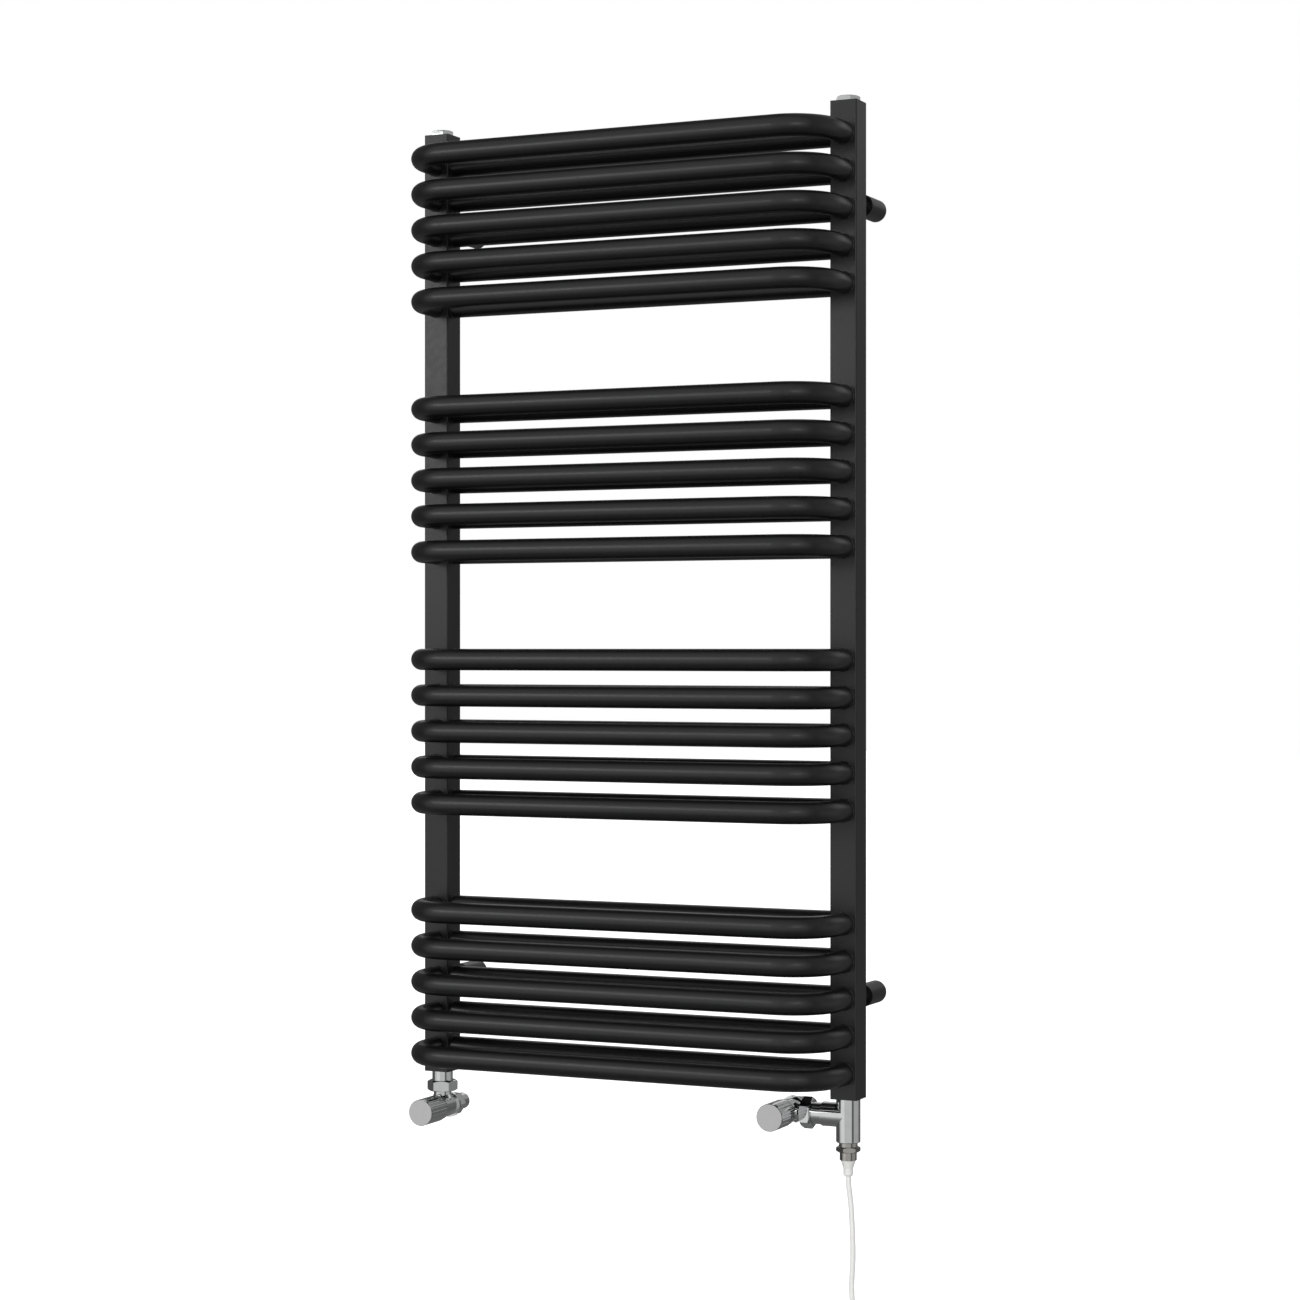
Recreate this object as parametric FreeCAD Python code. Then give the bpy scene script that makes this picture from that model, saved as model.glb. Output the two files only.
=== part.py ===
import FreeCAD, Part
import math
import os

# Wall-hung ladder radiator with two angle valves and an immersed electric element.
# Millimetres, +Z up, -Y to the front. The origin lies on the wall plane (y = 0),
# in the middle of the four wall fixings.

# ---- shared ----
past = 60.0                    # a drill that goes right through a small fitting
margin = 1.0                   # a cutter passes the face that it cuts by this much
turned_face = 0.95             # round face left on a hexagon's end, over its flats
turned_angle = 30.0            # slope of a hexagon's turned corners

# ---- frame of the radiator ----
upright_centres = 518.0        # between the axes of the two upright tubes
upright_width = 32.0           # square section of an upright
upright_wall = 2.0
upright_corner = 2.0           # outside corner radius of the section
upright_to_wall = 73.0         # gap from an upright's back face to the wall

# ---- heating bars ----
bar_diameter = 25.0
bar_wall = 1.5
bar_pitch = 42.0
bars_per_bank = 5
bank_count = 4
bank_pitches = 7               # from the top bar of a bank to the top bar of the next
top_margin = 37.0              # from the top bar's axis to the upright's top
bottom_margin = 29.0
front_bar_reach = 73.0         # front bar's axis, in front of the uprights' front face
bend_radius = 52.0             # centreline radius of the front bars' bends

# ---- wall brackets ----
fixing_inset = 110.0           # from an upright's end to the bracket's axis
sleeve_diameter = 25.6
sleeve_length = 45.0
sleeve_base = 4.0
stub_diameter = 16.0
stub_clearance = 0.10          # radial, between stub and sleeve
stub_end_gap = 18.0            # left behind the stub for the reach adjustment
fixing_hole = 5.5
grub_diameter = 5.0
grub_from_mouth = 8.0
grub_key = 2.5                 # across the flats of the grub screw's socket
grub_key_depth = 2.0
stub_chamfer = 1.0

# ---- threaded ends of the uprights ----
thread_diameter = 20.8         # half-inch pipe thread
thread_clearance = 0.05
bush_diameter = 26.0
bush_depth = 14.0
end_plate_thickness = 4.0

# ---- caps in the top ends ----
cap_flats = 25.0
cap_height = 6.0
cap_thread_length = 11.0
seal_section = 2.0             # height of the groove that holds the sealing ring
seal_squeeze = 0.3             # the ring is this much thinner than its groove
seal_stretch = 0.2
vent_screw_diameter = 5.0
vent_screw_clearance = 0.05
vent_screw_length = 5.6
vent_screw_tip = 0.8           # length of its conical tip
vent_tip_end = 0.4             # radius where the cone ends
vent_square = 3.6
vent_square_top = 0.3          # the square stands this far below the cap's top
vent_screw_depth = 2.6         # from the cap's top to where the screw's thread starts
vent_recess = 9.0
vent_recess_depth = 2.5
vent_hole_depth = 9.0
vent_duct = 2.0
vent_outlet_depth = 4.0        # the side outlet's axis, below the cap's top

# ---- valves ----
valve_reach = 43.7             # from the valve's middle to the face its outlet seats on
knob_diameter = 31.0
knob_length = 38.0
knob_front = 54.2              # from the valve's middle to the knob's front face
knob_wall = 2.5
knob_face_thickness = 6.0
hub_diameter = 11.0
hub_end = 4.0                  # the hub and its socket end this far behind the knob's face
socket_end = 8.0
knob_gap = 0.4                 # between the turning knob and what it goes round
knob_edge = 0.4                # chamfer round the knob's front
flute_count = 24
flute_radius = 1.7
flute_depth = 0.45
flute_start = 2.5              # the flutes stop this far short of the front face
disc_diameter = 29.8
disc_thickness = 1.2
disc_play = 0.1
body_diameter = 26.0
body_collar_diameter = 29.0    # shoulder behind the knob
body_collar_length = 5.0
body_collar_edge = 0.5
neck_diameter = 21.0
neck_flare = 2.0               # the neck widens by this much where it leaves the barrel
body_back = 15.0               # rear end of the barrel, behind the valve's middle
body_front = 14.0
chamber_diameter = 18.0
seat_diameter = 12.0
seat_thickness = 2.5
seat_face = 2.0                # the seat lies this far behind the valve's middle
inlet_bore_diameter = 13.0
union_thread = 26.4
union_flats = 31.5
union_start = 19.2
union_length = 13.0
union_engagement = 9.0         # the body's end lies this far up inside the nut
union_lip = 1.8                # the nut's inner lip, over the tailpiece's collar
union_lip_clearance = 0.2
union_thread_inset = 0.6       # the body's thread starts this far inside the nut
left_nut_turn = 22.5           # where the tightened nuts' flats happen to stand
right_nut_turn = 0.0
tail_collar = 23.5
tail_collar_thickness = 2.0
tail_bore = 14.0
tail_engagement = 11.0         # how far the tailpiece screws into what it feeds
cover_diameter = 24.6
flange_diameter = 30.0
flange_thickness = 4.0
inlet_thread = 21.5
inlet_thread_length = 11.0
pipe_socket_depth = 10.0
nut_flats = 24.0
nut_hex_length = 15.0
nut_collar_diameter = 19.3
nut_collar_length = 16.0
nut_thread_relief = 0.5
nut_cone_rim = 1.2             # the nut's cone is this much wider than the olive
nut_cone_length = 5.5
pipe_diameter = 15.0
pipe_clearance = 0.10
olive_length = 7.0
olive_mouth = 18.0             # its middle, the widest part
olive_tip = 16.0
olive_gap = 1.0                # the olive's middle stands this far out of the body
gland_hex = 15.0
gland_hex_length = 4.0
gland_thread_length = 5.5
groove_from_front = 2.0        # the ring's groove, behind the front of the body
groove_play = 0.4
spindle_diameter = 6.0
spindle_clearance = 0.05
spindle_square = 4.2           # small enough to pass the gland
square_clearance = 0.25
square_length = 16.0
foot_diameter = 9.0            # flange on the spindle's inner end, caught in the plug
foot_thickness = 1.6
foot_play = 0.1
foot_seat = 2.2                # from the valve's middle to the floor of the plug's pocket
spindle_shoulder_gap = 0.5     # its round part ends this far short of the gland's face when open
oring_section = 1.5
oring_squeeze = 0.05
oring_play = 0.2
plug_diameter = 15.0
plug_length = 5.0
washer_thickness = 2.0
washer_play = 0.05
plug_lift = 3.0

# ---- tee and electric element ----
tee_diameter = 27.4
tee_length = 49.3
tee_branch_length = 29.8       # from the tee's axis to the branch's face
tee_branch_drop = 19.2         # right valve's axis below the upright
tee_thread_engagement = 10.0
tee_chamfer = 1.0
tee_bore = 16.0
tee_branch_thread = 11.5
tee_lower_thread = 12.0
rod_diameter = 9.0
rod_length = 560.0
rod_clearance = 0.05
rod_in_head = 4.0              # the rod's end, below the head's shoulder
element_thread_length = 10.0
element_wiring_bore = 12.0
element_wiring_top = 6.0
element_rod_socket = 15.0
element_neck_diameter = 21.0
element_neck_length = 4.4
element_flats = 24.0
element_turn = 34.0            # where the tightened head's flats happen to stand
element_hex_length = 6.3
element_body_diameter = 19.3
element_body_length = 9.0
element_groove_count = 6
element_groove_pitch = 1.3
element_groove_depth = 0.45
boot_top_diameter = 17.3
boot_tip_diameter = 10.9
boot_taper_length = 9.5
boot_length = 18.0
boot_recess = 3.0
boot_stem_diameter = 11.9
boot_tip_round = 2.2
cable_in_boot = 5.0            # the free cable starts this far above the boot's tip

# ---- supply cable ----
cable_diameter = 6.0
coil_radius = 33.0
coil_section = 16.4
core_diameter = 2.2
core_length = 22.0
core_spread = 3.4
core_gap = 0.35                # between a core and the middle of the three
core_turn = 0.5                # radians, where the first core stands
ferrule_diameter = 1.5
ferrule_length = 8.0
tie_width = 4.0
tie_thickness = 1.3
tie_gap = 0.3

# ---- sizes that follow from those above ----
bar_radius = bar_diameter / 2
bar_rows = [bank * bank_pitches + row for bank in range(bank_count) for row in range(bars_per_bank)]
upright_height = top_margin + bar_rows[-1] * bar_pitch + bottom_margin
upright_top = upright_height / 2
upright_bottom = -upright_top
upright_x = upright_centres / 2
half_width = upright_width / 2
upright_back = -upright_to_wall
upright_axis = upright_back - half_width
upright_front = upright_back - upright_width
fixing_z = upright_top - fixing_inset
left_valve_z = upright_bottom - valve_reach
right_valve_z = upright_bottom - tee_branch_drop
right_valve_x = upright_x - tee_branch_length - valve_reach
tee_bottom = upright_bottom - tee_length
inlet_end = body_back + flange_thickness + inlet_thread_length
inlet_stop = inlet_end - pipe_socket_depth

FRONT = FreeCAD.Vector(0, -1, 0)
BACK = FreeCAD.Vector(0, 1, 0)
UP = FreeCAD.Vector(0, 0, 1)
DOWN = FreeCAD.Vector(0, 0, -1)
RIGHT = FreeCAD.Vector(1, 0, 0)
LEFT = FreeCAD.Vector(-1, 0, 0)


def point(x, y, z):
    return FreeCAD.Vector(x, y, z)


def rod(diameter, start, direction, length):
    return Part.makeCylinder(diameter / 2, length, start, direction)


def tube(diameter, bore, start, direction, length):
    return rod(diameter, start, direction, length).cut(rod(bore, start, direction, length))


def hexagon(flats, start, direction, length, near=False, far=False, turn=0.0):
    """Hexagonal prism; near and far say which ends have their corners turned off at 30 degrees."""
    radius = flats / math.sqrt(3)
    corners = []
    for index in range(7):
        angle = math.radians(60 * index + turn)
        corners.append(point(radius * math.cos(angle), radius * math.sin(angle), 0))
    prism = Part.Face(Part.makePolygon(corners)).extrude(point(0, 0, length))
    if near or far:
        face = turned_face * flats / 2
        rim = radius + margin
        drop = (rim - face) * math.tan(math.radians(turned_angle))
        profile = [point(0, 0, 0), point(face if near else rim, 0, 0)]
        profile += [point(rim, 0, drop if near else margin)]
        profile += [point(rim, 0, length - (drop if far else margin))]
        profile += [point(face if far else rim, 0, length), point(0, 0, length), point(0, 0, 0)]
        blank = Part.Face(Part.makePolygon(profile)).revolve(point(0, 0, 0), point(0, 0, 1), 360)
        prism = prism.common(blank)
    prism.Placement = FreeCAD.Placement(start, FreeCAD.Rotation(point(0, 0, 1), direction))
    return prism


def ring(major, section, centre, direction):
    return Part.makeTorus(major, section / 2, centre, direction)


def save(name, *solids):
    shapes = []
    for shape in solids:
        shapes.extend(shape.removeSplitter().Solids)
    result = shapes[0] if len(shapes) == 1 else Part.makeCompound(shapes)
    result.exportStep("parts/" + name + ".step")
    total = sum(solid.Volume for solid in shapes)
    print(f"{name:24s} solids {len(shapes):2d}  volume {total:12.1f}  valid {result.isValid()}")


def bar_height(row):
    return upright_top - top_margin - row * bar_pitch


# ---------------------------------------------------------------- frame

def upright(side):
    """Square tube with a hole for each bar's end: rear bars inside, front bars in front."""
    x = side * upright_x
    outer = Part.makeBox(upright_width, upright_width, upright_height,
                         point(x - half_width, upright_front, upright_bottom))
    edges = [edge for edge in outer.Edges if abs(edge.tangentAt(edge.FirstParameter).z) > 0.9]
    outer = outer.makeFillet(upright_corner, edges)
    bore = upright_width - 2 * upright_wall
    inner = Part.makeBox(bore, bore, upright_height,
                         point(x - bore / 2, upright_front + upright_wall, upright_bottom))
    holes = []
    for row in bar_rows:
        z = bar_height(row)
        holes.append(rod(bar_diameter, point(x, upright_axis, z), RIGHT * -side, half_width))
        holes.append(rod(bar_diameter, point(x, upright_axis, z), FRONT, half_width))
    return outer.cut(inner).cut(Part.makeCompound(holes))


def end_plate(side, end):
    """Plate and threaded bush welded into one open end of an upright."""
    x = side * upright_x
    bore = upright_width - 2 * upright_wall
    inward = UP * -end
    face = point(x, upright_axis, end * upright_top)
    low = min(face.z, face.z + inward.z * end_plate_thickness)
    plate = Part.makeBox(bore, bore, end_plate_thickness, point(x - bore / 2, upright_axis - bore / 2, low))
    bush = rod(bush_diameter, face, inward, bush_depth)
    hole = rod(thread_diameter + 2 * thread_clearance, face, inward, bush_depth)
    return plate.fuse(bush).cut(hole)


def front_bar(z):
    """Round tube bent to a flat U: a straight middle and two legs into the uprights."""
    y_bar = upright_front - front_bar_reach
    x_bend = upright_x - bend_radius
    y_bend = y_bar + bend_radius
    leg_end = upright_front + upright_wall
    slant = bend_radius * math.sqrt(0.5)
    path = []
    path.append(Part.LineSegment(point(-upright_x, leg_end, z), point(-upright_x, y_bend, z)).toShape())
    path.append(Part.Arc(point(-upright_x, y_bend, z),
                         point(-x_bend - slant, y_bend - slant, z),
                         point(-x_bend, y_bar, z)).toShape())
    path.append(Part.LineSegment(point(-x_bend, y_bar, z), point(x_bend, y_bar, z)).toShape())
    path.append(Part.Arc(point(x_bend, y_bar, z),
                         point(x_bend + slant, y_bend - slant, z),
                         point(upright_x, y_bend, z)).toShape())
    path.append(Part.LineSegment(point(upright_x, y_bend, z), point(upright_x, leg_end, z)).toShape())
    wire = Part.Wire(path)
    walls = []
    for radius in (bar_radius, bar_radius - bar_wall):
        profile = Part.Wire(Part.makeCircle(radius, point(-upright_x, leg_end, z), BACK))
        walls.append(wire.makePipeShell([profile], True, False))
    return walls[0].cut(walls[1])


def rear_bar(z):
    start = -upright_x + half_width - upright_wall
    return tube(bar_diameter, bar_diameter - 2 * bar_wall, point(start, upright_axis, z), RIGHT, -2 * start)


# ---------------------------------------------------------------- wall brackets

fixing_points = [(side * upright_x, end * fixing_z) for end in (1, -1) for side in (-1, 1)]


def wall_sleeve(x, z):
    """Cup against the wall: screwed down through its base, open towards the radiator."""
    sleeve = rod(sleeve_diameter, point(x, 0, z), FRONT, sleeve_length)
    bore = rod(stub_diameter + 2 * stub_clearance, point(x, -sleeve_base, z), FRONT, sleeve_length)
    screw_hole = rod(fixing_hole, point(x, 0, z), FRONT, sleeve_base)
    grub_hole = rod(grub_diameter, point(x, grub_from_mouth - sleeve_length, z), DOWN, sleeve_diameter)
    return sleeve.cut(bore).cut(screw_hole).cut(grub_hole)


def grub_screw(x, z):
    """Set screw that locks the stub in its sleeve, with a hexagon socket."""
    y = grub_from_mouth - sleeve_length
    tip = stub_diameter / 2 + stub_clearance
    screw = rod(grub_diameter, point(x, y, z - tip), DOWN, sleeve_diameter / 2 - tip)
    socket = hexagon(grub_key, point(x, y, z - sleeve_diameter / 2), UP, grub_key_depth)
    return screw.cut(socket)


def bracket_stub(x, z):
    """Round post welded to the upright's back; it slides in the sleeve to set the reach."""
    length = upright_to_wall - sleeve_base - stub_end_gap
    stub = rod(stub_diameter, point(x, upright_back, z), BACK, length)
    tip = [edge for edge in stub.Edges if edge.BoundBox.YMin > upright_back + length / 2]
    return stub.makeChamfer(stub_chamfer, tip)


# ---------------------------------------------------------------- caps in the top ends

def cap_body(side):
    """Hexagon cap with a half-inch thread, tightened on a rubber ring."""
    base = point(side * upright_x, upright_axis, upright_top)
    head = hexagon(cap_flats, base, UP, cap_height, far=True)
    thread = rod(thread_diameter, base, DOWN, cap_thread_length)
    floor = thread_diameter - 2 * (seal_section - seal_squeeze)
    groove = tube(thread_diameter + margin, floor, base, DOWN, seal_section)
    return head.fuse(thread).cut(groove)


def cap_seal(side):
    centre = point(side * upright_x, upright_axis, upright_top - seal_section / 2)
    major = (thread_diameter - seal_section) / 2 + seal_stretch
    return ring(major, seal_section - seal_squeeze, centre, UP)


def air_vent_body():
    """The right cap: a bleed duct up its middle and out of one side, shut by a small screw."""
    top = point(upright_x, upright_axis, upright_top + cap_height)
    cap = cap_body(1)
    recess = rod(vent_recess, top, DOWN, vent_recess_depth)
    screw_hole = rod(vent_screw_diameter + 2 * vent_screw_clearance, top, DOWN, vent_hole_depth)
    duct = rod(vent_duct, top, DOWN, cap_height + cap_thread_length)
    outlet = rod(vent_duct, top + DOWN * vent_outlet_depth, BACK, cap_flats)
    return cap.cut(recess).cut(screw_hole).cut(duct).cut(outlet)


def vent_screw():
    top = point(upright_x, upright_axis, upright_top + cap_height)
    thread_start = top + DOWN * vent_screw_depth
    thread = rod(vent_screw_diameter, thread_start, DOWN, vent_screw_length)
    cone = Part.makeCone(vent_screw_diameter / 2, vent_tip_end, vent_screw_tip,
                         thread_start + DOWN * vent_screw_length, DOWN)
    square = Part.makeBox(vent_square, vent_square, vent_screw_depth - vent_square_top,
                          thread_start + point(-vent_square / 2, -vent_square / 2, 0))
    return thread.fuse(cone).fuse(square)


# ---------------------------------------------------------------- valves

def valve_body(middle, outlet):
    """Angle body: knob in front, compression inlet behind, threaded outlet at right angles."""
    barrel = rod(body_diameter, middle + BACK * body_back, FRONT, body_back + body_front)
    shoulder = rod(body_collar_diameter, middle + FRONT * body_front, BACK, body_collar_length)
    rims = [edge for edge in shoulder.Edges if edge.Length > 2 * body_collar_diameter]
    shoulder = shoulder.makeChamfer(body_collar_edge, rims)
    neck = rod(neck_diameter, middle, outlet, union_start + union_engagement)
    flare_start = body_diameter / 2 - neck_flare
    flare = Part.makeCone(neck_diameter / 2 + neck_flare, neck_diameter / 2, 2 * neck_flare,
                          middle + outlet * flare_start, outlet)
    outlet_thread = rod(union_thread, middle + outlet * (union_start + union_thread_inset), outlet,
                        union_engagement - union_thread_inset)
    flange = rod(flange_diameter, middle + BACK * body_back, BACK, flange_thickness)
    inlet = rod(inlet_thread, middle + BACK * (body_back + flange_thickness), BACK, inlet_thread_length)
    solid = barrel.fuse(shoulder).fuse(neck).fuse(flare).fuse(outlet_thread).fuse(flange).fuse(inlet)
    seat_back = middle + BACK * (seat_face + seat_thickness)
    chamber = rod(chamber_diameter, middle + BACK * seat_face, FRONT, seat_face + body_front)
    seat_hole = rod(seat_diameter, seat_back, FRONT, seat_thickness)
    inlet_bore = rod(inlet_bore_diameter, seat_back, BACK, past)
    pipe_socket = rod(pipe_diameter + 2 * pipe_clearance, middle + BACK * inlet_stop, BACK, past)
    mouth = Part.makeCone(olive_tip / 2, olive_mouth / 2, olive_length / 2,
                          middle + BACK * (inlet_end + olive_gap - olive_length / 2), BACK)
    outlet_bore = rod(tail_bore, middle, outlet, past)
    for hollow in (chamber, seat_hole, inlet_bore, pipe_socket, mouth, outlet_bore):
        solid = solid.cut(hollow)
    return solid


def olive(middle):
    """Soft brass ring squeezed on the pipe between body and nut."""
    centre = middle + BACK * (inlet_end + olive_gap)
    half = olive_length / 2
    front = Part.makeCone(olive_tip / 2, olive_mouth / 2, half, centre + FRONT * half, BACK)
    rear = Part.makeCone(olive_mouth / 2, olive_tip / 2, half, centre, BACK)
    bore = rod(pipe_diameter + pipe_clearance, centre + FRONT * olive_length, BACK, 2 * olive_length)
    return front.fuse(rear).cut(bore)


def compression_nut(middle):
    """Hexagon nut over the inlet thread, drawn out to a round collar round the pipe."""
    start = middle + BACK * (body_back + flange_thickness)
    nut = hexagon(nut_flats, start, BACK, nut_hex_length, near=True, far=True)
    collar = rod(nut_collar_diameter, start + BACK * nut_hex_length, BACK, nut_collar_length)
    thread_end = inlet_thread_length + nut_thread_relief
    thread = rod(inlet_thread + 2 * thread_clearance, start, BACK, thread_end)
    olive_room = Part.makeCone(olive_mouth / 2 + nut_cone_rim, pipe_diameter / 2 + pipe_clearance,
                               nut_cone_length, start + BACK * thread_end, BACK)
    bore = rod(pipe_diameter + 2 * pipe_clearance, start, BACK, past)
    return nut.fuse(collar).cut(thread).cut(olive_room).cut(bore)


def tailpiece(middle, outlet):
    """Threaded pipe into the radiator, held to the body by its collar under the union nut."""
    body_face = union_start + union_engagement
    start = middle + outlet * body_face
    collar = rod(tail_collar, start, outlet, tail_collar_thickness)
    pipe = rod(thread_diameter, start, outlet, valve_reach - body_face + tail_engagement)
    bore = rod(tail_bore, start, outlet, past)
    return collar.fuse(pipe).cut(bore)


def union_nut(middle, outlet, turn):
    start = middle + outlet * union_start
    nut = hexagon(union_flats, start, outlet, union_length, near=True, far=True, turn=turn)
    thread = rod(union_thread + 2 * thread_clearance, start, outlet, union_length - union_lip)
    lip = rod(thread_diameter + 2 * union_lip_clearance, start, outlet, union_length + margin)
    return nut.cut(thread).cut(lip)


def cover_sleeve(middle, outlet):
    """Plated ring that hides the tailpiece between the union nut and the radiator."""
    start = middle + outlet * (union_start + union_length)
    return tube(cover_diameter, thread_diameter + 2 * thread_clearance, start, outlet,
                valve_reach - union_start - union_length)


def gland(middle):
    """Screwed insert that guides the spindle and closes the front of the body."""
    front = middle + FRONT * body_front
    thread = rod(chamber_diameter, front, BACK, gland_thread_length)
    head = hexagon(gland_hex, front, FRONT, gland_hex_length)
    bore = rod(spindle_diameter + 2 * spindle_clearance, front + FRONT * gland_hex_length, BACK, past)
    groove = rod(spindle_diameter + 2 * oring_section, front + BACK * groove_from_front, BACK,
                 oring_section + groove_play)
    return thread.fuse(head).cut(bore).cut(groove)


def gland_oring(middle):
    centre = middle + FRONT * (body_front - groove_from_front - (oring_section + groove_play) / 2)
    major = (spindle_diameter + oring_section) / 2 + spindle_clearance - oring_squeeze
    return ring(major, oring_section - oring_play, centre, FRONT)


def spindle(middle):
    """Turns and rises with the knob: screw end in the gland, square end in the knob."""
    start = middle + FRONT * (foot_seat + foot_play)
    shoulder = body_front + gland_hex_length - plug_lift - spindle_shoulder_gap
    shaft = rod(spindle_diameter, start, FRONT, shoulder - foot_seat - foot_play)
    foot = rod(foot_diameter, start, FRONT, foot_thickness)
    square = Part.makeBox(spindle_square, square_length, spindle_square,
                          point(middle.x - spindle_square / 2, middle.y - shoulder - square_length,
                                middle.z - spindle_square / 2))
    return shaft.fuse(foot).fuse(square)


def valve_plug(middle):
    """Disc that shuts the seat; it slides with the spindle and doesn't turn."""
    back = middle + BACK * (seat_face - washer_thickness)
    floor = middle + FRONT * foot_seat
    plug = rod(plug_diameter, back, FRONT, plug_length)
    pocket = rod(foot_diameter + 2 * foot_play, floor, FRONT, foot_thickness + 2 * foot_play)
    mouth = rod(spindle_diameter + 4 * foot_play, floor, FRONT, plug_length)
    return plug.cut(pocket).cut(mouth)


def seat_washer(middle):
    back = middle + BACK * (seat_face - washer_play)
    return rod(plug_diameter, back, FRONT, washer_thickness - washer_play)


def knob(middle):
    """Hollow plated knob, fluted along its side, with a square socket on the spindle."""
    front = middle + FRONT * knob_front
    outer = rod(knob_diameter, front, BACK, knob_length)
    rims = [edge for edge in outer.Edges if edge.Length > 2 * knob_diameter]
    outer = outer.makeChamfer(knob_edge, rims)
    flutes = []
    for index in range(flute_count):
        angle = 2 * math.pi * (index + 0.5) / flute_count
        distance = knob_diameter / 2 + flute_radius - flute_depth
        offset = point(distance * math.cos(angle), 0, distance * math.sin(angle))
        flutes.append(rod(2 * flute_radius, front + offset + BACK * flute_start, BACK, knob_length))
    bore_start = knob_front - knob_length
    bore = rod(knob_diameter - 2 * knob_wall, middle + FRONT * bore_start, FRONT,
               knob_length - knob_face_thickness)
    hub_start = body_front + gland_hex_length + knob_gap
    hub = rod(hub_diameter, middle + FRONT * hub_start, FRONT, knob_front - hub_start - hub_end + knob_gap)
    socket_side = spindle_square + 2 * square_clearance
    socket = Part.makeBox(socket_side, knob_front - body_front - socket_end, socket_side,
                          point(middle.x - socket_side / 2, middle.y - knob_front + socket_end,
                                middle.z - socket_side / 2))
    disc_seat = rod(disc_diameter + disc_play, front, BACK, disc_thickness)
    return outer.cut(Part.makeCompound(flutes)).cut(bore).fuse(hub).cut(socket).cut(disc_seat)


def knob_disc(middle):
    return rod(disc_diameter, middle + FRONT * knob_front, BACK, disc_thickness)


# ---------------------------------------------------------------- tee and electric element

def tee_piece():
    top = point(upright_x, upright_axis, upright_bottom)
    branch_axis = top + DOWN * tee_branch_drop
    run = rod(tee_diameter, top, DOWN, tee_length)
    foot = [edge for edge in run.Edges if edge.BoundBox.ZMax < tee_bottom + margin]
    run = run.makeChamfer(tee_chamfer, foot)
    thread = rod(thread_diameter, top, UP, tee_thread_engagement)
    branch = rod(tee_diameter, branch_axis, LEFT, tee_branch_length)
    solid = run.fuse(thread).fuse(branch)
    bore = rod(tee_bore, top + UP * tee_thread_engagement, DOWN, tee_length + tee_thread_engagement)
    branch_bore = rod(tail_bore, branch_axis, LEFT, tee_branch_length)
    tapped = thread_diameter + 2 * thread_clearance
    branch_thread = rod(tapped, branch_axis + LEFT * tee_branch_length, RIGHT, tee_branch_thread)
    lower_thread = rod(tapped, top + DOWN * tee_length, UP, tee_lower_thread)
    return solid.cut(bore).cut(branch_bore).cut(branch_thread).cut(lower_thread)


def element_head():
    """Brass head of the immersion element, screwed up into the foot of the tee."""
    top = point(upright_x, upright_axis, tee_bottom)
    thread = rod(thread_diameter, top, UP, element_thread_length)
    neck = rod(element_neck_diameter, top, DOWN, element_neck_length)
    hex_start = top + DOWN * element_neck_length
    flats = hexagon(element_flats, hex_start, DOWN, element_hex_length, True, True, element_turn)
    body = rod(element_body_diameter, hex_start + DOWN * element_hex_length, DOWN, element_body_length)
    rod_socket = rod(rod_diameter + 2 * rod_clearance, top + UP * element_thread_length, DOWN,
                     element_rod_socket)
    wiring = rod(element_wiring_bore, top + DOWN * element_wiring_top, DOWN, past)
    solid = thread.fuse(neck).fuse(flats).fuse(body).cut(rod_socket).cut(wiring)
    grooves = []
    groove_floor = element_body_diameter - 2 * element_groove_depth
    for index in range(element_groove_count):
        start = hex_start + DOWN * (element_hex_length + element_groove_pitch * (index + 0.5))
        grooves.append(tube(element_body_diameter + margin, groove_floor, start, DOWN, element_groove_pitch / 2))
    return solid.cut(Part.makeCompound(grooves))


def element_rod():
    """Heating rod with a domed tip, standing in the right upright's water."""
    start = point(upright_x, upright_axis, tee_bottom - rod_in_head)
    straight = rod(rod_diameter, start, UP, rod_length - rod_diameter / 2)
    dome = Part.makeSphere(rod_diameter / 2, start + UP * (rod_length - rod_diameter / 2))
    return straight.fuse(dome)


boot_top = tee_bottom - element_neck_length - element_hex_length - element_body_length
boot_tip = boot_top - boot_length


def cable_boot():
    """Moulded strain relief: a flared top in the element head, a round-ended sleeve below."""
    top = point(upright_x, upright_axis, boot_top)
    stem = rod(boot_stem_diameter, top, UP, boot_recess)
    flare = Part.makeCone(boot_top_diameter / 2, boot_tip_diameter / 2, boot_taper_length, top, DOWN)
    sleeve = rod(boot_tip_diameter, top + DOWN * boot_taper_length, DOWN, boot_length - boot_taper_length)
    rim = [edge for edge in sleeve.Edges if edge.BoundBox.ZMax < boot_tip + margin]
    sleeve = sleeve.makeFillet(boot_tip_round, rim)
    hole = rod(cable_diameter, top + UP * (boot_recess + margin), DOWN, past)
    return stem.fuse(flare).fuse(sleeve).cut(hole)


# ---------------------------------------------------------------- supply cable

# The cable leaves the boot straight down, bows gently outwards and back,
# and runs into the side of its own hanging coil.
cable_exit = point(upright_x, upright_axis, boot_tip + cable_in_boot)
coil_centre = cable_exit + point(-26.0, 0.0, -192.0)
cable_points = [
    cable_exit,
    cable_exit + point(0.0, 0.0, -14.0),
    cable_exit + point(3.6, -0.4, -36.0),
    cable_exit + point(5.2, -0.8, -66.0),
    cable_exit + point(6.2, -0.4, -96.0),
    cable_exit + point(3.6, 0.3, -126.0),
    cable_exit + point(5.0, 0.4, -152.0),
    cable_exit + point(10.6, 0.0, -176.0),
]


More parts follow.
